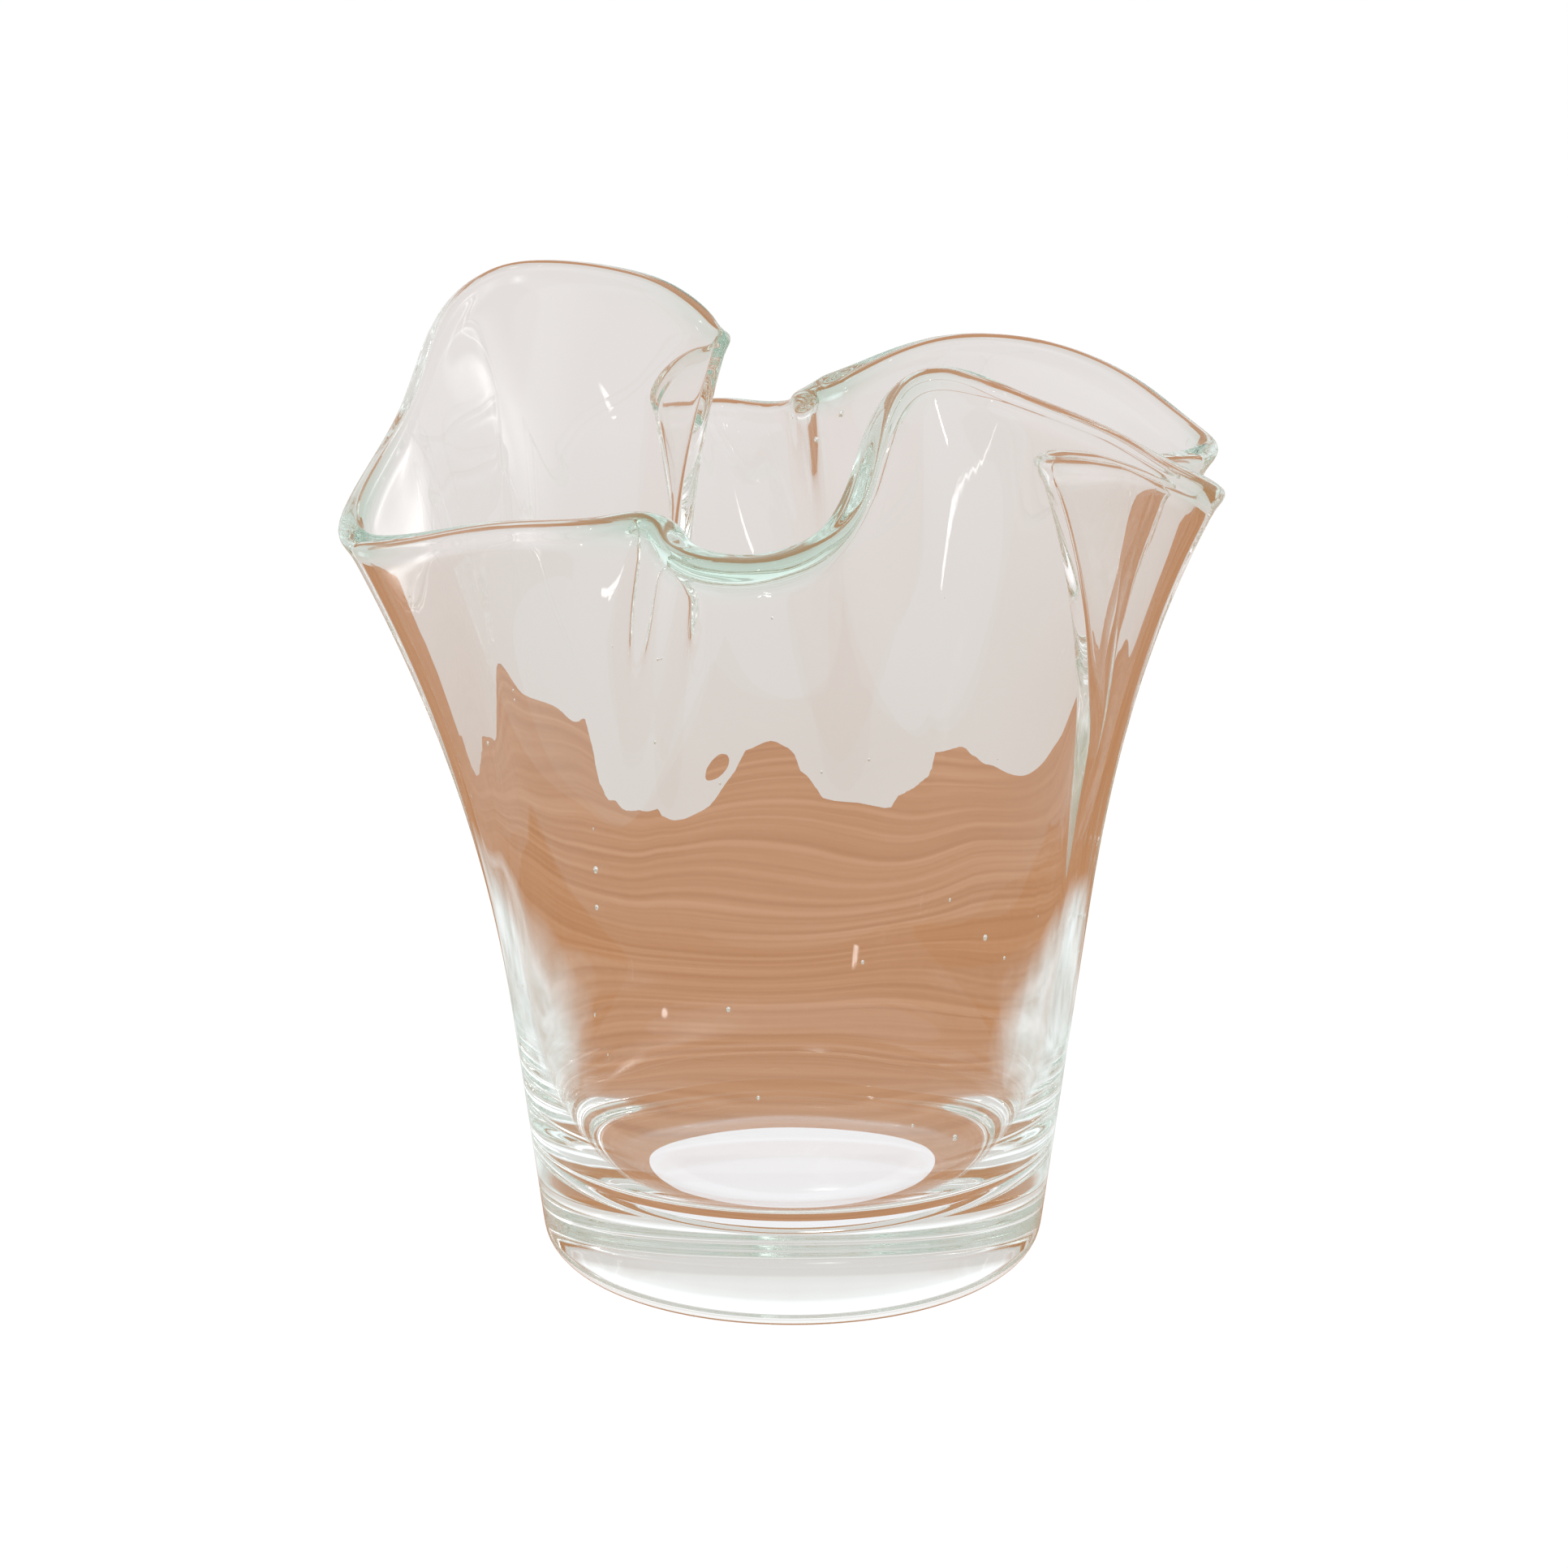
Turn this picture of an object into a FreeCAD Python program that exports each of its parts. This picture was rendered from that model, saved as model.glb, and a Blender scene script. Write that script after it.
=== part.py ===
import FreeCAD, Part
import math
import os

# Ruffled glass vase, blown in one piece: a heavy round base, a folded wall and a
# fire-polished lip. Millimetres, Z up, origin at the centre of the flat underside.

os.makedirs("parts", exist_ok=True)

# Heights
rim_height = 170.0
seat_height = 22.0
fold_start_height = 45.0
thick_root_height = 25.0
lip_height = 3.2
heel_height = 5.5

# Sizes in plan
rim_reach = 80.0
body_radius = 44.0
foot_radius = 37.5
floor_radius = 20.0
heel_run = 4.2

# Glass thicknesses
wall_thickness = 3.5
seat_thickness = 6.5
floor_thickness = 15.0
lip_thickness = 4.0

# Radius that the body gains for each unit of height
body_taper = 0.13

# How fast the thick root of the wall thins, and the lip's thickness fades downwards
root_power = 3.0
lip_power = 8.0

# Rows of the wall, as shares of the way from the seat to the lip
row_shares = (0.0, 0.09, 0.18, 0.3, 0.45, 0.6, 0.75, 0.88, 1.0)

# Half of the lip's section, from its edge to the crown:
# half thickness share of the wall's edge, height share of the lip
lip_section_shares = (
    (1.0, 0.0),
    (1.35, 0.5),
    (1.35, 1.15),
    (0.0, 1.15),
)

# Share of the dish's width, from its rim, where it meets the floor's level
dish_pull_share = 0.4

# Faces that the wall and the lip have around the vase, and degrees once round
faces_around = 9
full_turn = 360.0

# Rim stations, counter-clockwise from above, front at -Y: rim angle, share of
# rim_reach, share of rim_height, body angle below the fold, curl power, and share
# of lip_thickness
rim_station_shares = (
    (  4.0, 0.550, 0.844,   2.5, 3.0, 0.60),
    (  5.6, 0.620, 0.844,   4.5, 3.0, 0.55),
    (  5.6, 0.730, 0.844,   7.0, 3.0, 0.55),
    (  8.5, 0.850, 0.840,  10.5, 3.0, 0.60),
    ( 14.0, 0.965, 0.836,  15.5, 3.0, 0.80),
    ( 20.5, 0.955, 0.852,  22.0, 2.7, 0.60),
    ( 31.5, 0.910, 0.884,  32.0, 2.5, 0.55),
    ( 44.5, 0.855, 0.908,  43.0, 2.5, 0.55),
    ( 56.5, 0.780, 0.916,  55.0, 2.5, 0.55),
    ( 68.0, 0.660, 0.908,  67.0, 2.5, 0.60),
    ( 79.0, 0.515, 0.892,  75.5, 2.5, 0.85),
    ( 82.5, 0.485, 0.888,  78.0, 2.5, 1.00),
    ( 87.5, 0.590, 0.856,  84.0, 2.5, 0.65),
    ( 96.0, 0.715, 0.836,  93.0, 2.5, 0.55),
    (105.0, 0.790, 0.832, 102.0, 2.5, 0.55),
    (114.5, 0.770, 0.844, 109.0, 2.5, 0.60),
    (114.0, 0.630, 0.900, 114.0, 2.5, 0.65),
    (109.5, 0.500, 0.940, 118.5, 2.5, 0.75),
    (114.5, 0.525, 0.972, 122.5, 2.5, 0.70),
    (121.5, 0.650, 0.992, 129.0, 2.5, 0.60),
    (129.5, 0.825, 0.996, 137.0, 2.5, 0.55),
    (137.0, 0.940, 0.984, 145.5, 2.5, 0.55),
    (146.5, 0.945, 0.956, 154.0, 2.5, 0.55),
    (156.0, 0.920, 0.908, 163.0, 2.4, 0.55),
    (167.5, 0.920, 0.852, 172.0, 2.2, 0.65),
    (180.0, 0.990, 0.780, 181.0, 2.0, 1.00),
    (191.5, 0.880, 0.788, 190.0, 2.0, 0.65),
    (205.5, 0.790, 0.820, 201.0, 2.3, 0.55),
    (219.0, 0.715, 0.840, 213.0, 2.5, 0.55),
    (232.0, 0.650, 0.848, 225.0, 2.5, 0.80),
    (240.5, 0.605, 0.844, 235.0, 2.5, 1.10),
    (247.0, 0.665, 0.824, 243.0, 2.5, 1.20),
    (257.0, 0.720, 0.816, 252.0, 2.5, 1.25),
    (267.5, 0.750, 0.824, 263.0, 2.5, 1.20),
    (277.0, 0.745, 0.852, 274.0, 2.5, 1.15),
    (283.0, 0.705, 0.908, 283.0, 2.5, 1.00),
    (287.0, 0.655, 0.964, 290.0, 2.5, 0.85),
    (294.0, 0.630, 1.004, 297.0, 2.5, 0.70),
    (301.0, 0.745, 1.004, 306.0, 2.5, 0.55),
    (310.5, 0.820, 0.976, 317.0, 2.5, 0.50),
    (322.5, 0.860, 0.936, 328.0, 2.7, 0.50),
    (334.5, 0.900, 0.888, 338.0, 2.9, 0.60),
    (347.0, 0.945, 0.844, 347.0, 3.0, 0.85),
    (354.0, 0.850, 0.840, 353.0, 3.0, 0.60),
    (361.3, 0.730, 0.840, 357.5, 3.0, 0.55),
    (362.2, 0.620, 0.842, 360.0, 3.0, 0.55),
)


def body_radius_at(z):
    """Outer radius of the round body at a height."""
    return body_radius + body_taper * z


def on_circle(radius, degrees, z):
    """Point at a radius and an angle in plan."""
    angle = math.radians(degrees)
    return FreeCAD.Vector(radius * math.cos(angle), radius * math.sin(angle), z)


def closed_curve(points, knots):
    """Smooth closed curve that passes each point at its knot."""
    curve = Part.BSplineCurve()
    curve.interpolate(Points=points, PeriodicFlag=True, Parameters=knots)
    return curve


def open_curve(points, knots):
    """Smooth open curve that passes each point at its knot."""
    curve = Part.BSplineCurve()
    curve.interpolate(Points=points, Parameters=knots)
    return curve


def ring_surface(rings, pole_columns, row_degree, row_knots, row_multiplicities):
    """Surface that closes around the vase, from its columns of poles."""
    surface = Part.BSplineSurface()
    surface.buildFromPolesMultsKnots(
        pole_columns,
        rings[0].getMultiplicities(),
        row_multiplicities,
        rings[0].getKnots(),
        row_knots,
        True,
        False,
        rings[0].Degree,
        row_degree,
    )
    return surface


def wall_surface(rows, ring_knots):
    """Surface that passes through every point of the rows."""
    rings = [closed_curve(row, ring_knots) for row in rows]
    columns = zip(*[ring.getPoles() for ring in rings])
    uprights = [open_curve(list(column), list(row_shares)) for column in columns]
    pole_columns = [upright.getPoles() for upright in uprights]
    first = uprights[0]
    return ring_surface(rings, pole_columns, first.Degree, first.getKnots(), first.getMultiplicities())


def drawn_surface(rows, ring_knots, degree):
    """Surface whose section is drawn by the rows: straight for degree 1, else rounded."""
    rings = [closed_curve(row, ring_knots) for row in rows]
    pole_columns = [list(column) for column in zip(*[ring.getPoles() for ring in rings])]
    spans = len(rows) - degree
    knots = [float(knot) for knot in range(spans + 1)]
    multiplicities = [degree + 1] + [1] * (spans - 1) + [degree + 1]
    return ring_surface(rings, pole_columns, degree, knots, multiplicities)


def faces_of(surface):
    """The surface as equal runs of stations around the vase, one face each."""
    knots = surface.getUKnots()
    run = (len(knots) - 1) // faces_around
    _, _, bottom, top = surface.bounds()
    faces = []
    for index in range(faces_around):
        patch = surface.copy()
        end = knots[(index + 1) * run] if index + 1 < faces_around else knots[-1]
        patch.segment(knots[index * run], end, bottom, top)
        faces.append(patch.toShape())
    return faces


def closed_solid(surfaces):
    """Solid bounded by surfaces that meet edge to edge."""
    shell = Part.Shell([face for surface in surfaces for face in faces_of(surface)])
    shell.sewShape()
    return Part.Solid(shell)


def rim_stations():
    """Rim point, direction in the round body, curl and lip thickness of each station."""
    stations = []
    for rim_angle, reach_share, height_share, body_angle, curl, lip_share in rim_station_shares:
        rim = on_circle(reach_share * rim_reach, rim_angle, height_share * rim_height)
        stations.append((rim, on_circle(1.0, body_angle, 0.0), curl, lip_share * lip_thickness))
    return stations


def fold_share(z, rim_z):
    """Share of the way from where the folds start to the rim."""
    return min(max((z - fold_start_height) / (rim_z - fold_start_height), 0.0), 1.0)


def outer_point(station, row_share):
    """Point of the wall's outer face: the round body, drawn to the rim point by the fold."""
    rim, direction, curl, _ = station
    z = seat_height + row_share * (rim.z - lip_height - seat_height)
    drawn = fold_share(z, rim.z) ** curl
    pull = rim - direction * body_radius_at(rim.z)
    x = direction.x * body_radius_at(z) + drawn * pull.x
    y = direction.y * body_radius_at(z) + drawn * pull.y
    return FreeCAD.Vector(x, y, z)


def thickness_at(station, z):
    """Thickness of the wall: heavy at the root, even in the body, its own at each rim point."""
    rim, _, _, lip = station
    rise = min((z - seat_height) / thick_root_height, 1.0)
    root = (seat_thickness - wall_thickness) * (1.0 - rise) ** root_power
    return wall_thickness + root + (lip - wall_thickness) * fold_share(z, rim.z) ** lip_power


def inner_row(stations, outer_row, outer_surface, ring_knots, row_share):
    """Row of the wall's inner face, level with the outer one at the seat."""
    row = []
    for station, point, knot in zip(stations, outer_row, ring_knots):
        normal = outer_surface.normal(knot, row_share)
        normal.z = normal.z * min((point.z - seat_height) / thick_root_height, 1.0)
        normal.normalize()
        row.append(point - normal * thickness_at(station, point.z))
    return row


def lip_rows(stations, outer_edge, inner_edge):
    """Rows that draw the lip, from its outer edge over the crown to its inner edge."""
    outer_half = []
    inner_half = []
    for width_share, height_share in lip_section_shares:
        outer_half.append([])
        inner_half.append([])
        for station, outer, inner in zip(stations, outer_edge, inner_edge):
            level = (outer + inner) * 0.5 + (station[0] - outer) * height_share
            across = (outer - inner) * 0.5 * width_share
            outer_half[-1].append(level + across)
            inner_half[-1].append(level - across)
    return outer_half + inner_half[-2::-1]


def make_base():
    """Heavy round base: flat underside, rounded heel and dished inner floor."""
    inner_seat_radius = body_radius_at(seat_height) - seat_thickness
    centre = FreeCAD.Vector(0.0, 0.0, 0.0)
    foot = FreeCAD.Vector(foot_radius, 0.0, 0.0)
    heel_out = FreeCAD.Vector(foot_radius + heel_run, 0.0, 0.0)
    heel_up = FreeCAD.Vector(body_radius_at(heel_height / 2.0), 0.0, heel_height / 2.0)
    heel_top = FreeCAD.Vector(body_radius_at(heel_height), 0.0, heel_height)
    seat_outer = FreeCAD.Vector(body_radius_at(seat_height), 0.0, seat_height)
    seat_inner = FreeCAD.Vector(inner_seat_radius, 0.0, seat_height)
    dish_width = inner_seat_radius - floor_radius
    dish_pull = FreeCAD.Vector(inner_seat_radius - dish_pull_share * dish_width, 0.0, floor_thickness)
    floor_edge = FreeCAD.Vector(floor_radius, 0.0, floor_thickness)
    floor_centre = FreeCAD.Vector(0.0, 0.0, floor_thickness)
    heel = Part.BezierCurve()
    heel.setPoles([foot, heel_out, heel_up, heel_top])
    dish = Part.BezierCurve()
    dish.setPoles([seat_inner, dish_pull, floor_edge])
    outline = [
        Part.makeLine(centre, foot),
        heel.toShape(),
        Part.makeLine(heel_top, seat_outer),
        Part.makeLine(seat_outer, seat_inner),
        dish.toShape(),
        Part.makeLine(floor_edge, floor_centre),
        Part.makeLine(floor_centre, centre),
    ]
    profile = Part.Face(Part.Wire(outline))
    return profile.revolve(centre, FreeCAD.Vector(0.0, 0.0, 1.0), full_turn)


def make_wall_and_lip():
    """Folded wall from the base's seat to under the lip, and the rounded lip on it."""
    stations = rim_stations()
    ring_knots = [body_angle for _, _, _, body_angle, _, _ in rim_station_shares]
    ring_knots.append(ring_knots[0] + full_turn)
    outer_rows = [[outer_point(station, share) for station in stations] for share in row_shares]
    outer = wall_surface(outer_rows, ring_knots)
    inner_rows = []
    for share, outer_row in zip(row_shares, outer_rows):
        inner_rows.append(inner_row(stations, outer_row, outer, ring_knots, share))
    inner = wall_surface(inner_rows, ring_knots)
    seat = drawn_surface([outer_rows[0], inner_rows[0]], ring_knots, 1)
    joint = drawn_surface([outer_rows[-1], inner_rows[-1]], ring_knots, 1)
    crown = drawn_surface(lip_rows(stations, outer_rows[-1], inner_rows[-1]), ring_knots, 3)
    return closed_solid([outer, inner, seat, joint]), closed_solid([crown, joint])


base = make_base()
wall, lip = make_wall_and_lip()

base.exportStep("parts/base.step")
wall.exportStep("parts/wall.step")
lip.exportStep("parts/lip.step")
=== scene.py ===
import math

import bpy
import numpy as np
from mathutils import Matrix, Vector


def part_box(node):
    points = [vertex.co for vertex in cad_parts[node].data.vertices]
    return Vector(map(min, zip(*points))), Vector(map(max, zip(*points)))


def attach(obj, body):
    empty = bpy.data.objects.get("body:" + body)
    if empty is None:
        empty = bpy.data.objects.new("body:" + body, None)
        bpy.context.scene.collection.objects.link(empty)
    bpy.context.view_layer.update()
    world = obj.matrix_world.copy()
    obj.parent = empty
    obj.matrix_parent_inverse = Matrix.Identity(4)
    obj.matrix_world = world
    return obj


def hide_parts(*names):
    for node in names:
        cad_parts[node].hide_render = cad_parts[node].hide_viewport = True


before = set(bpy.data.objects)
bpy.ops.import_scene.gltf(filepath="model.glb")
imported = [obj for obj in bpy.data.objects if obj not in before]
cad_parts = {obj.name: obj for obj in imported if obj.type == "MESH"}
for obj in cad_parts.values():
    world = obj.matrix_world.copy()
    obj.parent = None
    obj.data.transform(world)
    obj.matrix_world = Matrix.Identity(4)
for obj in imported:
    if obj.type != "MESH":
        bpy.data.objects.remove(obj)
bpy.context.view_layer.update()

# Ruffled glass vase, blown in one piece, on a pale floor. Metres, Z up. The round
# blank is drawn out ring by ring, then its rim is pulled into the folds, as the hot
# glass is.

# Heights
foot_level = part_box("base")[0].z
seat_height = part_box("base")[1].z
rim_height = 0.170
fold_start_height = 0.045
thick_root_height = 0.025
lip_height = 0.0032
heel_height = 0.0055

# Sizes in plan
rim_reach = 0.080
body_radius = 0.044
foot_radius = 0.0375
floor_radius = 0.020
heel_run = 0.0042

# Glass thicknesses
wall_thickness = 0.0035
seat_thickness = 0.0065
floor_thickness = 0.015
lip_thickness = 0.004
neck_thickness = 0.0034

# Radius that the body gains for each unit of height, and how fast the thick root of
# the wall and the lip's thickness fade
body_taper = 0.13
root_power = 3.0
lip_power = 8.0

# Share of the dish's width, from its rim, where it meets the floor's level
dish_pull_share = 0.4

# Gentle waves in the thickness of the blown wall: depth, and height of one wave
wave_depth = 0.00012
wave_length = 0.042

# Level waves, bent up and down around the vase: share of the depth, how far they
# bend in radians of the wave, bends around, and start in radians
level_wave_share = 0.55
level_wave_bend = 2.0
level_wave_bends = 3.0
level_wave_start = 0.7

# Slanted waves: share of the depth, waves in each wave_length up, waves around, and
# start in radians
slanted_waves = (
    (0.35, 0.62, 5.0, 1.3),
    (0.30, -0.45, 7.0, 0.0),
)

# How soon the waves grow from nothing at both ends of the wall
wave_growth_power = 0.5

# Lip shares between which its bead grows thick enough to look green, and the share
# of that green where the lip meets the wall
thin_lip_share = 0.55
thick_lip_share = 1.05
lip_joint_green = 0.4

# Round the front fold the lip's bead stands higher and taller: lift, share of the
# lip's height, direction, and degrees to each side where it is full and where it fades
front_bead_lift = 0.002
front_bead_rise = 0.3
front_bead_angle = 260.0
front_bead_side = 15.0
front_bead_fade = 30.0

# Counts
columns_per_station = 4
wall_rings = 36
lip_rings = 12
heel_rings = 6
side_rings = 4
dish_rings = 7
seed_segments = 12
seed_rings = 8

# Rings of the flat underside and of the inner floor, as shares of their radius
foot_ring_shares = (0.25, 0.6, 0.85, 0.96)
floor_ring_shares = (0.9, 0.6, 0.25)

# How near its height the rim of an open end lies
end_tolerance = 0.001

# The larger seeds: direction in the body, height and radius
seed_places = (
    (230.5, 0.0845, 0.00045), (229.0, 0.0780, 0.00035), (258.0, 0.0630, 0.00035),
    (307.0, 0.0360, 0.00045), (308.0, 0.0700, 0.00040), (344.0, 0.0650, 0.00045),
    (347.0, 0.0655, 0.00045), (350.0, 0.0780, 0.00070), (80.0, 0.1380, 0.00040),
    (77.0, 0.1440, 0.00050), (84.0, 0.1430, 0.00040), (200.0, 0.1000, 0.00030),
)

# The fine seeds: count, degrees from one to the next, lowest height, climb from one
# to the next, height of the band they stay in, smallest radius, step in radius, and
# number of radii
fine_seed_count = 26
fine_seed_turn = 137.5
fine_seed_low = 0.030
fine_seed_climb = 0.037
fine_seed_band = 0.090
fine_seed_radius = 0.00016
fine_seed_radius_step = 0.00004
fine_seed_radii = 4

# How much taller than wide the rising glass draws a seed
seed_stretch = 1.5

# Rim stations, counter-clockwise from above, front at -Y: rim angle, share of
# rim_reach, share of rim_height, body angle below the fold, curl power, and share
# of lip_thickness
rim_station_shares = (
    (4.0, 0.550, 0.844, 2.5, 3.0, 0.60),
    (5.6, 0.620, 0.844, 4.5, 3.0, 0.55),
    (5.6, 0.730, 0.844, 7.0, 3.0, 0.55),
    (8.5, 0.850, 0.840, 10.5, 3.0, 0.60),
    (14.0, 0.965, 0.836, 15.5, 3.0, 0.80),
    (20.5, 0.955, 0.852, 22.0, 2.7, 0.60),
    (31.5, 0.910, 0.884, 32.0, 2.5, 0.55),
    (44.5, 0.855, 0.908, 43.0, 2.5, 0.55),
    (56.5, 0.780, 0.916, 55.0, 2.5, 0.55),
    (68.0, 0.660, 0.908, 67.0, 2.5, 0.60),
    (79.0, 0.515, 0.892, 75.5, 2.5, 0.85),
    (82.5, 0.485, 0.888, 78.0, 2.5, 1.00),
    (87.5, 0.590, 0.856, 84.0, 2.5, 0.65),
    (96.0, 0.715, 0.836, 93.0, 2.5, 0.55),
    (105.0, 0.790, 0.832, 102.0, 2.5, 0.55),
    (114.5, 0.770, 0.844, 109.0, 2.5, 0.60),
    (114.0, 0.630, 0.900, 114.0, 2.5, 0.65),
    (109.5, 0.500, 0.940, 118.5, 2.5, 0.75),
    (114.5, 0.525, 0.972, 122.5, 2.5, 0.70),
    (121.5, 0.650, 0.992, 129.0, 2.5, 0.60),
    (129.5, 0.825, 0.996, 137.0, 2.5, 0.55),
    (137.0, 0.940, 0.984, 145.5, 2.5, 0.55),
    (146.5, 0.945, 0.956, 154.0, 2.5, 0.55),
    (156.0, 0.920, 0.908, 163.0, 2.4, 0.55),
    (167.5, 0.920, 0.852, 172.0, 2.2, 0.65),
    (180.0, 0.990, 0.780, 181.0, 2.0, 1.00),
    (191.5, 0.880, 0.788, 190.0, 2.0, 0.65),
    (205.5, 0.790, 0.820, 201.0, 2.3, 0.55),
    (219.0, 0.715, 0.840, 213.0, 2.5, 0.55),
    (232.0, 0.650, 0.848, 225.0, 2.5, 0.80),
    (240.5, 0.605, 0.844, 235.0, 2.5, 1.10),
    (247.0, 0.665, 0.824, 243.0, 2.5, 1.20),
    (257.0, 0.720, 0.816, 252.0, 2.5, 1.25),
    (267.5, 0.750, 0.824, 263.0, 2.5, 1.20),
    (277.0, 0.745, 0.852, 274.0, 2.5, 1.15),
    (283.0, 0.705, 0.908, 283.0, 2.5, 1.00),
    (287.0, 0.655, 0.964, 290.0, 2.5, 0.85),
    (294.0, 0.630, 1.004, 297.0, 2.5, 0.70),
    (301.0, 0.745, 1.004, 306.0, 2.5, 0.55),
    (310.5, 0.820, 0.976, 317.0, 2.5, 0.50),
    (322.5, 0.860, 0.936, 328.0, 2.7, 0.50),
    (334.5, 0.900, 0.888, 338.0, 2.9, 0.60),
    (347.0, 0.945, 0.844, 347.0, 3.0, 0.85),
    (354.0, 0.850, 0.840, 353.0, 3.0, 0.60),
    (361.3, 0.730, 0.840, 357.5, 3.0, 0.55),
    (362.2, 0.620, 0.842, 360.0, 3.0, 0.55),
)
rim_angles, reach_shares, height_shares, body_angles, curls, lip_shares = np.array(rim_station_shares).T

# Half of the lip's section, from its edge to the crown: half thickness share of the
# wall's edge, height share of the lip. The bead is full from its second place up
full_bead_height_share = 0.5
lip_section_shares = ((1.0, 0.0), (1.35, full_bead_height_share), (1.35, 1.15), (0.0, 1.15))

# Glass: refraction, the bead's tint, the tint that depth gives and how fast it grows
glass_ior = 1.5
bead_tint = (0.66, 0.84, 0.75)
depth_tint = (0.66, 0.86, 0.78)
depth_density = 2.6
white = (1.0, 1.0, 1.0)

# Floor that the camera sees
floor_reach = 6.0
floor_height = -0.0004
floor_colour = (0.95, 0.95, 0.95)
floor_roughness = 0.9

# Level cards under the floor that only the glass sees: the higher one hides the lower
white_card_height = -0.0006
warm_spot_height = -0.0009
side_light_pool_height = -0.0010
warm_card_height = -0.0012
grey_card_height = -0.0014

# White card under the foot
white_card_radius = 0.030
white_card_colour = (0.93, 0.93, 0.96)

# Painted pools of light at both sides, soft-edged level cards glowing pale green-white: distance out and
# back from the axis, and size
side_light_pool_out = 0.104
side_light_pool_back = 0.068
side_light_pool_size = (0.124, 0.210)

# Warm card: half its width, cuts across, and its far edge, left to right, as places
# across and depths behind the axis
warm_card_side = 0.30
warm_card_cuts = 300
warm_card_far_edge = (
    (-0.140, 0.345), (-0.110, 0.322), (-0.084, 0.312), (-0.072, 0.307), (-0.062, 0.314),
    (-0.056, 0.300), (-0.052, 0.280), (-0.046, 0.272), (-0.042, 0.274), (-0.037, 0.266),
    (-0.031, 0.262), (-0.023, 0.266), (-0.017, 0.290), (-0.014, 0.316), (-0.006, 0.322),
    (0.001, 0.312), (0.004, 0.290), (0.011, 0.268), (0.025, 0.268), (0.031, 0.284),
    (0.034, 0.306), (0.048, 0.312), (0.055, 0.306), (0.065, 0.300), (0.080, 0.290),
    (0.140, 0.310),
)

# Warm spot beyond that edge: radius across, how much longer it is from front to
# back, and place
warm_spot_radius = 0.0048
warm_spot_stretch = 2.6
warm_spot_place = (-0.024, 0.305)

# Bright cards, as windows and lamps are, all aimed at the folds: name, direction
# counter-clockwise from +X, elevation, distance, width, height and strength
bright_cards = (
    ("window_right", -33.0, 16.0, 2.2, 4.0, 0.75, 2.4),
    ("window_side", 6.0, 14.5, 2.2, 1.3, 0.36, 7.0),
    ("lamp_right", -24.0, 4.0, 2.2, 0.15, 0.15, 40.0),
    ("window_front", -105.0, 48.0, 2.2, 0.7, 0.9, 5.0),
    ("lamp_front", -119.0, -6.5, 0.9, 0.05, 0.11, 30.0),
)
fold_height = 0.12

# Dome over it all, and the far part of the grey card
dome_radius = 4.0
dome_segments = 48
dome_rings = 24
round_card_corners = 96
near_grey = (0.70, 0.66, 0.62)
grey = (0.78, 0.74, 0.72)
high_grey = (0.76, 0.72, 0.71)
bright = (1.15, 1.15, 1.18)

# Colours along a ramp: by the streaks' strength for the warm card and for the painted pools of
# light at the sides, by metres from the axis for the grey card, by degrees of elevation for the dome
warm_stops = ((0.30, (0.44, 0.207, 0.095)), (0.52, (0.51, 0.257, 0.128)), (0.72, (0.58, 0.318, 0.178)))
side_light_pool_stops = ((0.34, (0.62, 0.60, 0.55)), (0.48, (0.76, 0.79, 0.76)), (0.62, (0.93, 0.96, 0.95)))
grey_stops = ((0.30, near_grey), (0.62, grey))
dome_stops = ((4.0, grey), (13.0, bright), (20.8, bright), (22.6, high_grey))

# Streaks: how tightly they are packed across, along and up, detail and unevenness
warm_streaks = (6.0, 210.0, 1.0)
side_light_pool_streaks = (45.0, 45.0, 1.0)
streak_detail = 6.0
streak_distortion = 0.4

# How a card's glow grows from its edge, 0, to its centre, 1
window_fade = ((0.0, 0.0), (0.5, 0.30), (1.0, 1.0))
side_light_pool_fade = ((0.0, 0.0), (0.22, 1.0))

# Soft light over the vase, and the pale room
light_height = 1.6
light_size = 1.2
light_energy = 1.0
room_strength = 1.05

# Camera: what it looks at, distance, elevation and lens in millimetres
view_height = 0.0865
view_side = -0.00157
view_distance = 1.0
view_elevation = 17.0
view_lens = 130.4
view_sensor = 36.0

# Times that light may turn within the glass, because the wall guides it
light_bounces = 96

# Degrees once round
full_turn = 360.0


def body_radius_at(z):
    """Outer radius of the round body at a height."""
    return body_radius + body_taper * z


def on_circle(degrees):
    """Places on a circle of radius 1, as columns of X and Y."""
    angles = np.radians(degrees)
    return np.column_stack([np.cos(angles), np.sin(angles)])


def closed_curve_weights(knots, places):
    """Matrix that turns values at the stations into a smooth closed curve's values."""
    gaps = np.diff(knots)
    count = len(gaps)
    bend_side = np.zeros((count, count))
    value_side = np.zeros((count, count))
    for i in range(count):
        before, after, following = gaps[i - 1], gaps[i], (i + 1) % count
        bend_side[i, i - 1] += before
        bend_side[i, i] += 2.0 * (before + after)
        bend_side[i, following] += after
        value_side[i, i - 1] += 6.0 / before
        value_side[i, i] -= 6.0 / before + 6.0 / after
        value_side[i, following] += 6.0 / after
    bends = np.linalg.solve(bend_side, value_side)
    weights = np.zeros((len(places), count))
    for row, place in enumerate(places):
        i = min(int(np.searchsorted(knots, place, side="right")) - 1, count - 1)
        following = (i + 1) % count
        share = (place - knots[i]) / gaps[i]
        rest = 1.0 - share
        weights[row, i] += rest
        weights[row, following] += share
        weights[row] += gaps[i] ** 2 / 6.0 * (rest ** 3 - rest) * bends[i]
        weights[row] += gaps[i] ** 2 / 6.0 * (share ** 3 - share) * bends[following]
    return weights


def bezier(points, shares):
    """Points of a Bezier curve at the given shares of it."""
    points = np.array(points, float)
    result = []
    for share in shares:
        level = points
        while len(level) > 1:
            level = level[:-1] * (1.0 - share) + level[1:] * share
        result.append(level[0])
    return np.array(result)


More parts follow.
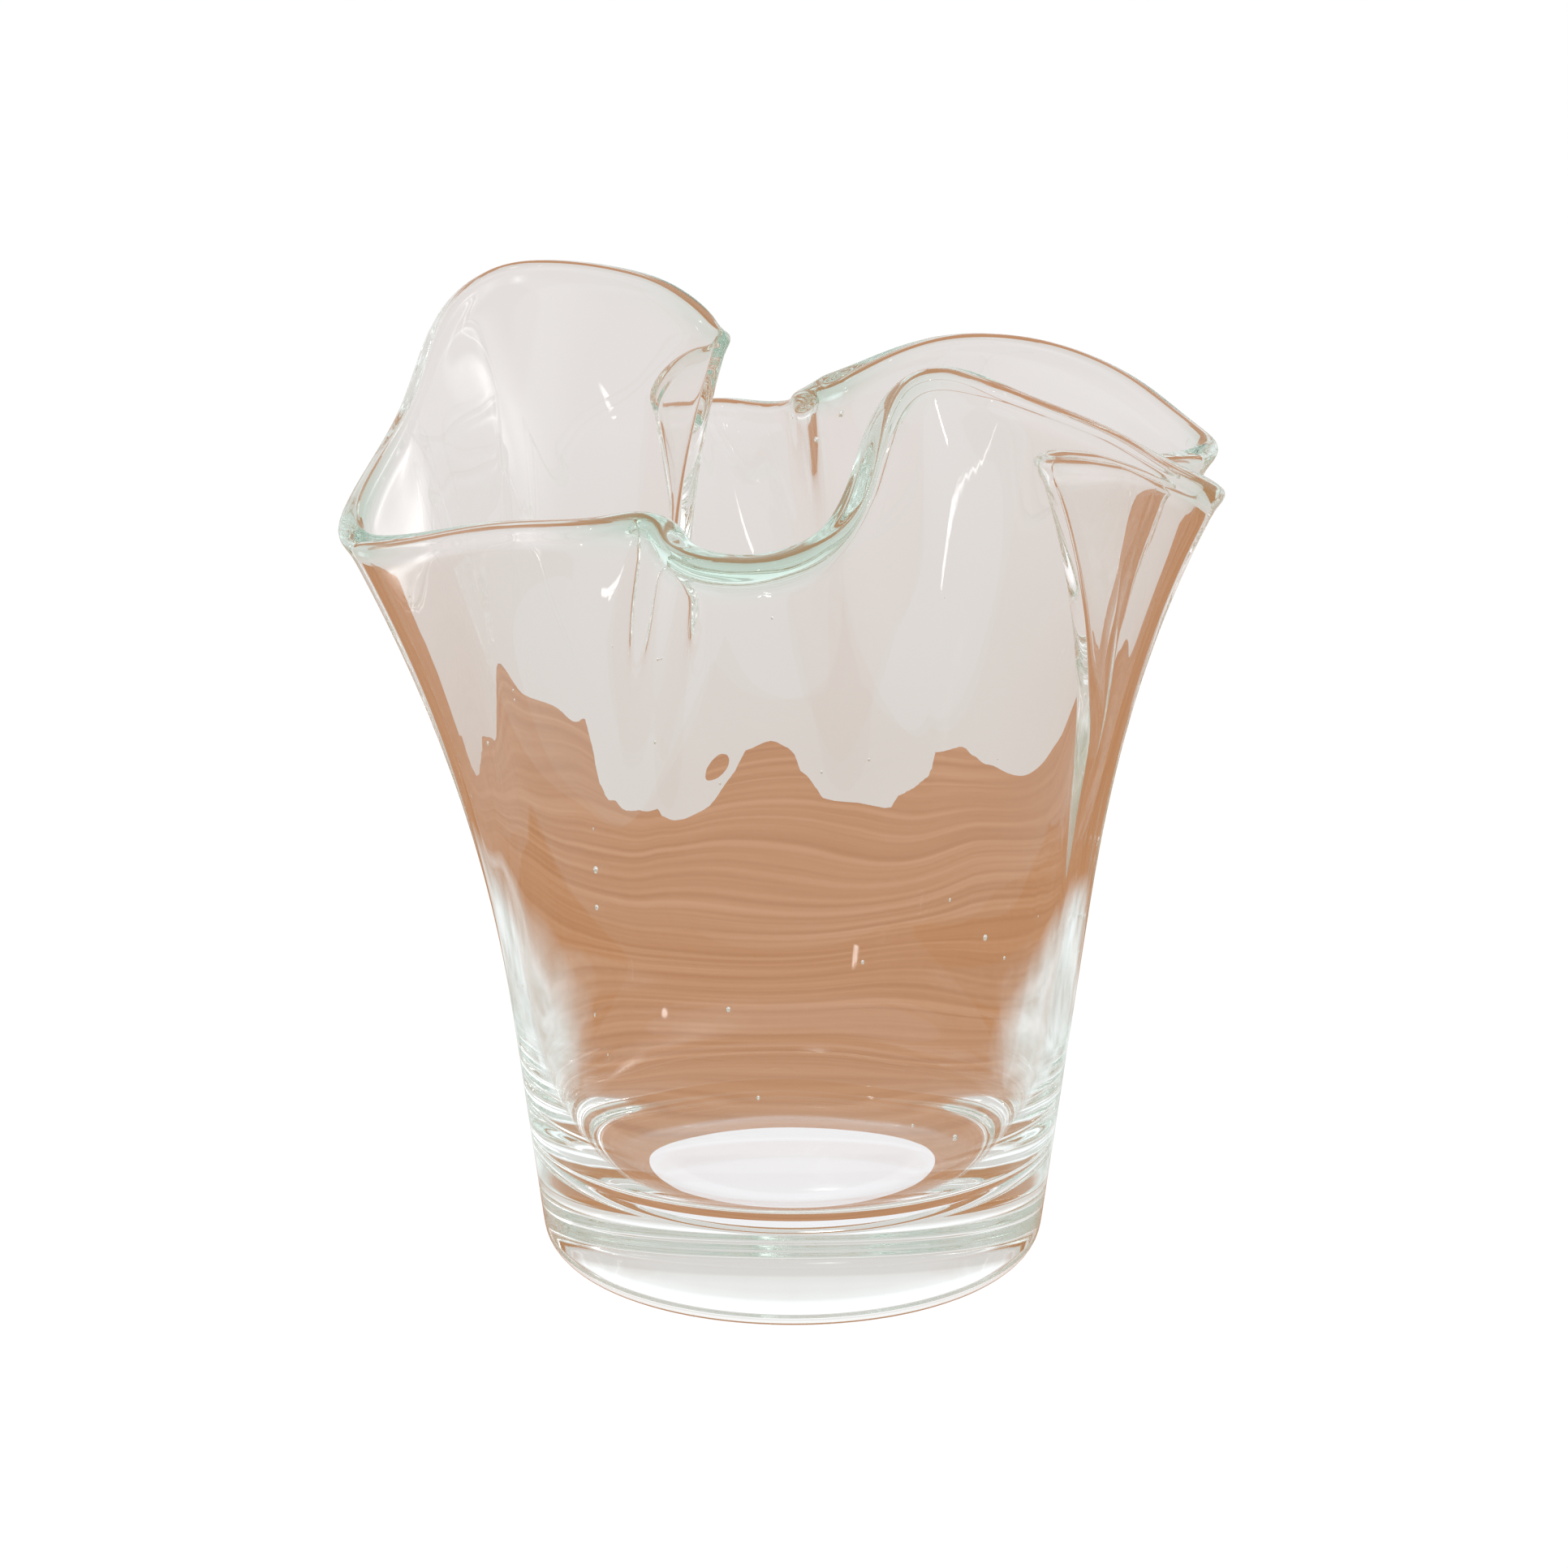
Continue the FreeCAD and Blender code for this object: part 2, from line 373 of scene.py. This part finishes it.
def clamped_spline(poles, places):
    """Points of a clamped uniform cubic curve drawn by its poles, from 0 to 1."""
    degree = 3
    spans = len(poles) - degree
    knots = [0.0] * degree + list(range(spans + 1)) + [float(spans)] * degree
    result = []
    for place in places:
        at = place * spans
        k = min(int(at), spans - 1) + degree
        level = [np.array(poles[j + k - degree], float) for j in range(degree + 1)]
        for r in range(1, degree + 1):
            for j in range(degree, r - 1, -1):
                low = knots[j + k - degree]
                share = (at - low) / (knots[j + 1 + k - r] - low)
                level[j] = level[j - 1] * (1.0 - share) + level[j] * share
        result.append(level[degree])
    return np.array(result)


def bead_share(lip_share):
    """Share of a full bead that the lip has, from its thickness."""
    return np.clip((lip_share - thin_lip_share) / (thick_lip_share - thin_lip_share), 0.0, 1.0)


def front_bead(degrees, lip_share):
    """Share of a full bead round the front fold."""
    away = np.abs(degrees - front_bead_angle)
    left = (front_bead_side + front_bead_fade - away) / front_bead_fade
    return bead_share(lip_share) * np.clip(left, 0.0, 1.0)


def station_rims():
    """Rim point of each station."""
    flat = on_circle(rim_angles) * (reach_shares * rim_reach)[:, None]
    lift = front_bead_lift * front_bead(body_angles, lip_shares)
    return np.column_stack([flat, height_shares * rim_height + lift])


def fold_shares(z, rim_z):
    """Shares of the way from where the folds start to the rim."""
    return np.clip((z - fold_start_height) / (rim_z - fold_start_height), 0.0, 1.0)


def outer_rows(weights, shares):
    """Rings of the outer wall, one for each share of the way from the seat to the lip."""
    rim = station_rims()
    rim_z = rim[:, 2]
    direction = on_circle(body_angles)
    rows = []
    for share in shares:
        z = seat_height + share * (rim_z - lip_height - seat_height)
        drawn = (fold_shares(z, rim_z) ** curls)[:, None]
        at_body = direction * body_radius_at(z)[:, None]
        at_rim = direction * body_radius_at(rim_z)[:, None]
        flat = at_body + drawn * (rim[:, :2] - at_rim)
        rows.append(weights @ np.column_stack([flat, z]))
    return np.array(rows)


def wall_normals(rows):
    """Outward unit normals of a grid of rings."""
    around = np.roll(rows, -1, 1) - np.roll(rows, 1, 1)
    up = np.gradient(rows, axis=0)
    normals = np.cross(around, up)
    return normals / np.linalg.norm(normals, axis=2, keepdims=True)


def thickness_waves(angles, z):
    """Shallow uneven waves that blowing leaves in the thickness of the wall."""
    rise = 2.0 * math.pi / wave_length * z
    bend = level_wave_bend * np.sin(level_wave_bends * angles + level_wave_start)
    waves = level_wave_share * np.sin(rise + bend)
    for share, up, around, start in slanted_waves:
        waves = waves + share * np.sin(up * rise + around * angles + start)
    return wave_depth * waves


def inner_rows(weights, outer, shares, angles):
    """Rings of the inner wall, level with the outer ones at the seat."""
    lip = np.minimum(weights @ (lip_shares * lip_thickness), neck_thickness)
    rim_z = weights @ station_rims()[:, 2]
    rows = []
    for share, ring, normals in zip(shares, outer, wall_normals(outer)):
        z = ring[:, 2]
        rise = np.clip((z - seat_height) / thick_root_height, 0.0, 1.0)
        root = (seat_thickness - wall_thickness) * (1.0 - rise) ** root_power
        thickness = wall_thickness + root + (lip - wall_thickness) * fold_shares(z, rim_z) ** lip_power
        grown = max(math.sin(math.pi * share), 0.0) ** wave_growth_power
        thickness = thickness + grown * thickness_waves(angles, z)
        normals[:, 2] *= rise
        normals /= np.linalg.norm(normals, axis=1, keepdims=True)
        rows.append(ring - normals * thickness[:, None])
    return np.array(rows)


def lip_rows(places, weights, outer_edge, inner_edge):
    """Rings of the rounded lip, from its outer edge over the crown to its inner edge."""
    rim_ring = weights @ station_rims()
    lip_share = weights @ lip_shares
    swell = np.maximum(lip_share * lip_thickness / neck_thickness, 1.0)
    rise = 1.0 + front_bead_rise * front_bead(places, lip_share)
    half = list(lip_section_shares)
    poles = half + [(-width, height) for width, height in half[-2::-1]]
    rows = []
    for width, height in clamped_spline(poles, np.arange(1, lip_rings) / lip_rings):
        level = (outer_edge + inner_edge) / 2.0 + (rim_ring - outer_edge) * height * rise[:, None]
        grown = (swell - 1.0) * min(height / full_bead_height_share, 1.0)
        across = (width * (1.0 + grown) - grown)[:, None]
        rows.append(level + (outer_edge - inner_edge) / 2.0 * across)
    return np.array(rows)


def foot_profile():
    """Radius and height of every ring from under the foot up to below the seat."""
    heel = bezier(
        [(foot_radius, 0.0), (foot_radius + heel_run, 0.0),
         (body_radius_at(heel_height / 2.0), heel_height / 2.0), (body_radius_at(heel_height), heel_height)],
        np.linspace(0.0, 1.0, heel_rings + 1))
    side = np.linspace(heel_height, seat_height, side_rings + 2)[1:-1]
    profile = [(foot_radius * share, foot_level) for share in foot_ring_shares]
    profile += [(radius, foot_level + z) for radius, z in heel]
    return profile + [(body_radius_at(z), z) for z in side]


def floor_profile():
    """Radius and height of every ring of the dish, from below the seat in to the centre."""
    seat_inner = body_radius_at(seat_height) - seat_thickness
    dish_pull = seat_inner - (seat_inner - floor_radius) * dish_pull_share
    dish = bezier(
        [(seat_inner, seat_height), (dish_pull, floor_thickness), (floor_radius, floor_thickness)],
        np.linspace(0.0, 1.0, dish_rings + 1)[1:])
    return list(dish) + [(floor_radius * share, floor_thickness) for share in floor_ring_shares]


def round_rings(places, profile):
    """Level round rings at the radii and heights of a profile."""
    circle = on_circle(places)
    return np.array([np.column_stack([circle * radius, np.full(len(circle), z)]) for radius, z in profile])


def vase_rings(places, weights, outer, inner):
    """Every ring of the vase, from under the foot over the lip to the inner floor."""
    foot = round_rings(places, foot_profile())
    lip = lip_rows(places, weights, outer[-1], inner[-1])
    floor = round_rings(places, floor_profile())
    green = np.concatenate([
        np.zeros(len(foot) + len(outer) - 1), [lip_joint_green], np.ones(len(lip)),
        [lip_joint_green], np.zeros(len(inner) + len(floor) - 1)])
    lip_green = green[:, None] * bead_share(weights @ lip_shares)
    return np.concatenate([foot, outer, lip, inner[::-1], floor]), lip_green


def blow_round_blank(rings):
    """Round glass with one ring of edges for each ring of the vase, open at its two ends."""
    radii = [float(np.hypot(ring[:, 0], ring[:, 1]).mean()) for ring in rings]
    heights = [float(ring[:, 2].mean()) for ring in rings]
    bpy.ops.object.select_all(action="DESELECT")
    bpy.ops.mesh.primitive_circle_add(vertices=rings.shape[1], radius=radii[0], fill_type="NOTHING")
    blank = bpy.context.object
    bpy.ops.object.mode_set(mode="EDIT")
    bpy.ops.mesh.select_all(action="SELECT")
    for i in range(1, len(radii)):
        grow = radii[i] / radii[i - 1]
        rise = heights[i] - heights[i - 1]
        bpy.ops.mesh.extrude_edges_move(TRANSFORM_OT_translate={"value": (0.0, 0.0, rise)})
        bpy.ops.transform.resize(value=(grow, grow, 1.0), center_override=(0.0, 0.0, heights[i]))
    bpy.ops.object.mode_set(mode="OBJECT")
    return blank


def pull_into_folds(blank, rings, lip_green):
    """Moves every corner of the round blank to its place, and marks the bead of the lip."""
    count = rings.shape[1]
    mesh = blank.data
    places = np.zeros(len(mesh.vertices) * 3)
    mesh.vertices.foreach_get("co", places)
    places = places.reshape(-1, 3)
    turned = np.mod(np.arctan2(places[:, 1], places[:, 0]), 2.0 * math.pi)
    column = np.mod(np.round(turned / (2.0 * math.pi) * count).astype(int), count)
    row = np.arange(len(places)) // count
    mesh.vertices.foreach_set("co", rings[row, column].ravel())
    mark = mesh.attributes.new("lip_green", "FLOAT", "POINT")
    mark.data.foreach_set("value", lip_green[row, column])
    mesh.update()


def close_end(vase, height):
    """Closes the flat end of the glass at a height with a fan to its centre."""
    bpy.ops.object.mode_set(mode="EDIT")
    bpy.ops.mesh.select_all(action="DESELECT")
    bpy.ops.object.mode_set(mode="OBJECT")
    used = {}
    for polygon in vase.data.polygons:
        for key in polygon.edge_keys:
            used[key] = used.get(key, 0) + 1
    corners = vase.data.vertices
    for edge in vase.data.edges:
        at_height = abs(corners[edge.vertices[0]].co.z - height) < end_tolerance
        edge.select = at_height and used[edge.key] == 1
    bpy.ops.object.mode_set(mode="EDIT")
    bpy.ops.mesh.select_mode(type="EDGE")
    bpy.ops.mesh.extrude_edges_move(TRANSFORM_OT_translate={"value": (0.0, 0.0, 0.0)})
    bpy.ops.mesh.merge(type="CENTER")
    bpy.ops.object.mode_set(mode="OBJECT")


def make_vase():
    """The whole vase: blank, folds, smooth skin, closed ends, seeds and glass."""
    knots = np.append(body_angles, body_angles[0] + full_turn)
    steps = np.arange(columns_per_station) / columns_per_station
    places = (knots[:-1, None] + np.diff(knots)[:, None] * steps).ravel()
    weights = closed_curve_weights(knots, places)
    shares = np.linspace(0.0, 1.0, wall_rings)
    outer = outer_rows(weights, shares)
    inner = inner_rows(weights, outer, shares, np.radians(places))
    rings, lip_green = vase_rings(places, weights, outer, inner)
    vase = blow_round_blank(rings)
    vase.name = vase.data.name = "vase_glass"
    pull_into_folds(vase, rings, lip_green)
    skin = vase.modifiers.new("skin", "SUBSURF")
    skin.levels = skin.render_levels = 1
    bpy.context.view_layer.objects.active = vase
    bpy.ops.object.modifier_apply(modifier="skin")
    close_end(vase, foot_level)
    close_end(vase, floor_thickness)
    bpy.ops.object.mode_set(mode="EDIT")
    bpy.ops.mesh.select_all(action="SELECT")
    bpy.ops.mesh.normals_make_consistent(inside=False)
    bpy.ops.object.mode_set(mode="OBJECT")
    bpy.ops.object.shade_smooth()
    blow_seeds(vase, (outer + inner) / 2.0, places)
    vase.data.materials.append(glass_material())
    return vase


def all_seeds():
    """Direction in the body, height and radius of every seed."""
    seeds = list(seed_places)
    for i in range(fine_seed_count):
        turned = (i * fine_seed_turn) % full_turn
        z = fine_seed_low + (i * fine_seed_climb) % fine_seed_band
        seeds.append((turned, z, fine_seed_radius + (i % fine_seed_radii) * fine_seed_radius_step))
    return seeds


def seed_shell(radius, place):
    """One seed: a small tall bubble with its skin facing in."""
    bpy.ops.object.select_all(action="DESELECT")
    bpy.ops.mesh.primitive_uv_sphere_add(
        segments=seed_segments, ring_count=seed_rings, radius=radius, location=place)
    shell = bpy.context.object
    shell.scale = (1.0, 1.0, seed_stretch)
    bpy.ops.object.transform_apply(location=True, rotation=True, scale=True)
    bpy.ops.object.mode_set(mode="EDIT")
    bpy.ops.mesh.select_all(action="SELECT")
    bpy.ops.mesh.flip_normals()
    bpy.ops.object.mode_set(mode="OBJECT")
    bpy.ops.object.shade_smooth()
    return shell


def blow_seeds(vase, middle, places):
    """Small bubbles in the middle of the wall, joined to the glass."""
    half_turn = full_turn / 2.0
    shells = []
    for turned, z, radius in all_seeds():
        away = np.mod(places - turned + half_turn, full_turn) - half_turn
        column = int(np.argmin(np.abs(away)))
        row = int(np.argmin(np.abs(middle[:, column, 2] - z)))
        shells.append(seed_shell(radius, middle[row, column]))
    bpy.ops.object.select_all(action="DESELECT")
    for shell in shells:
        shell.select_set(True)
    vase.select_set(True)
    bpy.context.view_layer.objects.active = vase
    bpy.ops.object.join()


def colour_stops(node, stops):
    """Gives a colour ramp its stops: place from 0 to 1, colour."""
    elements = node.color_ramp.elements
    while len(elements) < len(stops):
        elements.new(0.5)
    for element, (place, colour) in zip(elements, stops):
        element.position = place
        element.color = (*colour, 1.0)


def glass_material():
    """Clear glass, faint green where it is thick."""
    material = bpy.data.materials.new("clear_green_glass")
    material.use_nodes = True
    nodes, links = material.node_tree.nodes, material.node_tree.links
    shader = nodes["Principled BSDF"]
    shader.inputs["Roughness"].default_value = 0.0
    shader.inputs["IOR"].default_value = glass_ior
    shader.inputs["Transmission Weight"].default_value = 1.0
    bead = nodes.new("ShaderNodeAttribute")
    bead.attribute_name = "lip_green"
    tint = nodes.new("ShaderNodeValToRGB")
    colour_stops(tint, ((0.0, white), (1.0, bead_tint)))
    links.new(bead.outputs["Fac"], tint.inputs["Fac"])
    links.new(tint.outputs["Color"], shader.inputs["Base Color"])
    depth = nodes.new("ShaderNodeVolumeAbsorption")
    depth.inputs["Color"].default_value = (*depth_tint, 1.0)
    depth.inputs["Density"].default_value = depth_density
    links.new(depth.outputs["Volume"], nodes["Material Output"].inputs["Volume"])
    return material


def floor_material():
    """Matt pale floor without gloss."""
    material = bpy.data.materials.new("pale_floor")
    material.use_nodes = True
    shader = material.node_tree.nodes["Principled BSDF"]
    shader.inputs["Base Color"].default_value = (*floor_colour, 1.0)
    shader.inputs["Roughness"].default_value = floor_roughness
    shader.inputs["Specular IOR Level"].default_value = 0.0
    return material


def glow_material(name, colour, strength=1.0):
    """Even light from a card."""
    material = bpy.data.materials.new(name)
    material.use_nodes = True
    nodes, links = material.node_tree.nodes, material.node_tree.links
    nodes.remove(nodes["Principled BSDF"])
    glow = nodes.new("ShaderNodeEmission")
    glow.inputs["Color"].default_value = (*colour, 1.0)
    glow.inputs["Strength"].default_value = strength
    links.new(glow.outputs["Emission"], nodes["Material Output"].inputs["Surface"])
    return material


def shaded_glow(name, stops):
    """Glow coloured by a ramp, with the socket that gives the place and the one the ramp reads."""
    material = glow_material(name, stops[0][1])
    nodes, links = material.node_tree.nodes, material.node_tree.links
    place = nodes.new("ShaderNodeTexCoord")
    shades = nodes.new("ShaderNodeValToRGB")
    colour_stops(shades, stops)
    links.new(shades.outputs["Color"], nodes["Emission"].inputs["Color"])
    return material, place.outputs["Object"], shades.inputs["Fac"]


def streaked_glow(name, stops, scale):
    """Glow with long soft streaks."""
    material, place, shade = shaded_glow(name, stops)
    nodes, links = material.node_tree.nodes, material.node_tree.links
    stretch = nodes.new("ShaderNodeMapping")
    stretch.inputs["Scale"].default_value = scale
    streaks = nodes.new("ShaderNodeTexNoise")
    streaks.inputs["Scale"].default_value = 1.0
    streaks.inputs["Detail"].default_value = streak_detail
    streaks.inputs["Distortion"].default_value = streak_distortion
    links.new(place, stretch.inputs["Vector"])
    links.new(stretch.outputs["Vector"], streaks.inputs["Vector"])
    links.new(streaks.outputs["Fac"], shade)
    return material


def reach_glow(name, stops):
    """Glow of a level card whose colour goes by the distance from the vase's axis."""
    material, place, shade = shaded_glow(name, stops)
    nodes, links = material.node_tree.nodes, material.node_tree.links
    reach = nodes.new("ShaderNodeVectorMath")
    reach.operation = "LENGTH"
    links.new(place, reach.inputs[0])
    links.new(reach.outputs["Value"], shade)
    return material


def dome_glow(name, stops):
    """Glow whose colour goes by the elevation seen from the vase, in degrees."""
    sine_stops = [(math.sin(math.radians(elevation)), colour) for elevation, colour in stops]
    material, place, shade = shaded_glow(name, sine_stops)
    nodes, links = material.node_tree.nodes, material.node_tree.links
    split = nodes.new("ShaderNodeSeparateXYZ")
    level = nodes.new("ShaderNodeMath")
    level.operation = "DIVIDE"
    level.inputs[1].default_value = dome_radius
    links.new(place, split.inputs["Vector"])
    links.new(split.outputs["Z"], level.inputs[0])
    links.new(level.outputs["Value"], shade)
    return material


def soft_edges(material, stops):
    """Lets a card's glow fade out from its centre to its edges, by the stops of a ramp."""
    nodes, links = material.node_tree.nodes, material.node_tree.links
    place = nodes.new("ShaderNodeTexCoord")
    # The card's map runs from 0 to 1, and the gradient is centred on 0 and ends at 1
    centred = nodes.new("ShaderNodeMapping")
    centred.inputs["Location"].default_value = (-1.0, -1.0, 0.0)
    centred.inputs["Scale"].default_value = (2.0, 2.0, 0.0)
    fade = nodes.new("ShaderNodeTexGradient")
    fade.gradient_type = "SPHERICAL"
    steep = nodes.new("ShaderNodeValToRGB")
    colour_stops(steep, [(from_edge, (glow, glow, glow)) for from_edge, glow in stops])
    clear = nodes.new("ShaderNodeBsdfTransparent")
    mix = nodes.new("ShaderNodeMixShader")
    links.new(place.outputs["UV"], centred.inputs["Vector"])
    links.new(centred.outputs["Vector"], fade.inputs["Vector"])
    links.new(fade.outputs["Fac"], steep.inputs["Fac"])
    links.new(steep.outputs["Color"], mix.inputs["Fac"])
    links.new(clear.outputs["BSDF"], mix.inputs[1])
    links.new(nodes["Emission"].outputs["Emission"], mix.inputs[2])
    links.new(mix.outputs["Shader"], nodes["Material Output"].inputs["Surface"])
    return material


def hidden_card(name, material):
    """Finishes a card that only the glass sees, in reflection and refraction."""
    card = bpy.context.object
    bpy.ops.object.transform_apply(location=True, rotation=True, scale=True)
    card.name = card.data.name = name
    card.data.materials.append(material)
    card.visible_camera = False
    card.visible_diffuse = False
    card.visible_shadow = False
    card.visible_volume_scatter = False
    return card


def add_disc(radius, height):
    """Level disc around the vase's axis."""
    bpy.ops.object.select_all(action="DESELECT")
    bpy.ops.mesh.primitive_circle_add(
        vertices=round_card_corners, radius=radius, fill_type="TRIFAN", location=(0.0, 0.0, height))


def disc_card(name, radius, height, material):
    """Level round card around the vase's axis."""
    add_disc(radius, height)
    return hidden_card(name, material)


def side_light_pool(name, side, material):
    """Painted pool of light at one side of the vase, a level glowing card: 1 for right, -1 for left."""
    bpy.ops.object.select_all(action="DESELECT")
    bpy.ops.mesh.primitive_plane_add(
        size=1.0, location=(side * side_light_pool_out, side_light_pool_back, side_light_pool_height))
    bpy.context.object.scale = (*side_light_pool_size, 1.0)
    return hidden_card(name, material)


def far_edge_at(x):
    """Depth of the warm card's far edge, eased between its points."""
    points = warm_card_far_edge
    if x <= points[0][0]:
        return points[0][1]
    for (x0, y0), (x1, y1) in zip(points, points[1:]):
        if x <= x1:
            share = (x - x0) / (x1 - x0)
            return y0 + (y1 - y0) * share * share * (3.0 - 2.0 * share)
    return points[-1][1]


def warm_card(name, material):
    """Level card with a listed far edge."""
    bpy.ops.object.select_all(action="DESELECT")
    bpy.ops.mesh.primitive_grid_add(
        x_subdivisions=warm_card_cuts, y_subdivisions=1, size=2.0 * warm_card_side)
    for corner in bpy.context.object.data.vertices:
        corner.co.z = warm_card_height
        if corner.co.y > 0.0:
            corner.co.y = far_edge_at(corner.co.x)
    return hidden_card(name, material)


def warm_spot(name, material):
    """Small level card, longer from front to back, beyond the warm card's far edge."""
    spot = disc_card(name, warm_spot_radius, warm_spot_height, material)
    stretch = Matrix.Diagonal((1.0, warm_spot_stretch, 1.0, 1.0))
    spot.data.transform(Matrix.Translation((*warm_spot_place, 0.0)) @ stretch)
    return spot


def bright_card(name, azimuth, elevation, distance, width, height, strength):
    """Bright soft-edged card that faces the folds from a direction."""
    turn, rise = math.radians(azimuth), math.radians(elevation)
    towards = Vector((math.cos(turn) * math.cos(rise), math.sin(turn) * math.cos(rise), math.sin(rise)))
    bpy.ops.object.select_all(action="DESELECT")
    bpy.ops.mesh.primitive_plane_add(size=1.0)
    card = bpy.context.object
    card.scale = (width, height, 1.0)
    card.rotation_mode = "QUATERNION"
    card.rotation_quaternion = towards.to_track_quat("Z", "Y")
    card.location = towards * distance + Vector((0.0, 0.0, fold_height))
    return hidden_card(name, soft_edges(glow_material(name, white, strength), window_fade))


def make_dome():
    """Round room that only the glass sees."""
    bpy.ops.object.select_all(action="DESELECT")
    bpy.ops.mesh.primitive_uv_sphere_add(
        radius=dome_radius, segments=dome_segments, ring_count=dome_rings)
    return hidden_card("dome", dome_glow("dome", dome_stops))


def make_cards():
    """Everything that only the glass sees."""
    # Painted pools of light under both sides: pale green-white streaked glow with soft edges
    side_light_pool_glow = soft_edges(streaked_glow("side_light_pool", side_light_pool_stops, side_light_pool_streaks), side_light_pool_fade)
    warm_glow = streaked_glow("warm_card", warm_stops, warm_streaks)
    cards = [
        disc_card("white_card", white_card_radius, white_card_height,
                  glow_material("white_card", white_card_colour)),
        side_light_pool("left_side_light_pool", -1.0, side_light_pool_glow),
        side_light_pool("right_side_light_pool", 1.0, side_light_pool_glow),
        warm_card("warm_card", warm_glow),
        disc_card("grey_card", dome_radius, grey_card_height, reach_glow("grey_card", grey_stops)),
    ]
    cards += [bright_card(*row) for row in bright_cards]
    return cards + [warm_spot("warm_spot", warm_glow), make_dome()]


def make_floor():
    """Pale floor that the camera sees and the glass doesn't."""
    add_disc(floor_reach, floor_height)
    floor = bpy.context.object
    floor.name = "pale_floor"
    floor.data.materials.append(floor_material())
    floor.visible_glossy = False
    floor.visible_transmission = False
    floor.visible_shadow = False
    return floor


def add_soft_light():
    """Soft light over the vase, for what isn't glass."""
    bpy.ops.object.light_add(type="AREA", location=(0.0, 0.0, light_height))
    soft_light = bpy.context.object
    soft_light.name = soft_light.data.name = "soft_light"
    soft_light.data.size = light_size
    soft_light.data.energy = light_energy
    soft_light.visible_camera = False
    soft_light.visible_glossy = False
    soft_light.visible_transmission = False


def paint_room():
    """Even pale room all round."""
    world = bpy.data.worlds.new("pale_room")
    bpy.context.scene.world = world
    world.use_nodes = True
    background = world.node_tree.nodes["Background"]
    background.inputs["Color"].default_value = (*white, 1.0)
    background.inputs["Strength"].default_value = room_strength


def add_camera():
    """Camera in front of the vase, looking slightly down on it."""
    rise = math.radians(view_elevation)
    target = Vector((view_side, 0.0, view_height))
    back = Vector((0.0, -math.cos(rise), math.sin(rise)))
    camera_data = bpy.data.cameras.new("camera")
    camera = bpy.data.objects.new("camera", camera_data)
    bpy.context.scene.collection.objects.link(camera)
    camera.location = target + back * view_distance
    camera.rotation_mode = "QUATERNION"
    camera.rotation_quaternion = (-back).to_track_quat("-Z", "Y")
    camera_data.sensor_width = view_sensor
    camera_data.lens = view_lens
    camera_data.dof.use_dof = False
    bpy.context.scene.camera = camera


vase = make_vase()
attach(vase, "root")
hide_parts("base", "wall", "lip")
# The floor's matt light passes by the glass, so the floor stays plain
vase.visible_diffuse = False
vase.visible_shadow = False

floor = make_floor()
cards = make_cards()

add_soft_light()
paint_room()
add_camera()

scene = bpy.context.scene
scene.view_settings.view_transform = "Standard"
scene.cycles.max_bounces = light_bounces
scene.cycles.transmission_bounces = light_bounces
scene.cycles.glossy_bounces = light_bounces
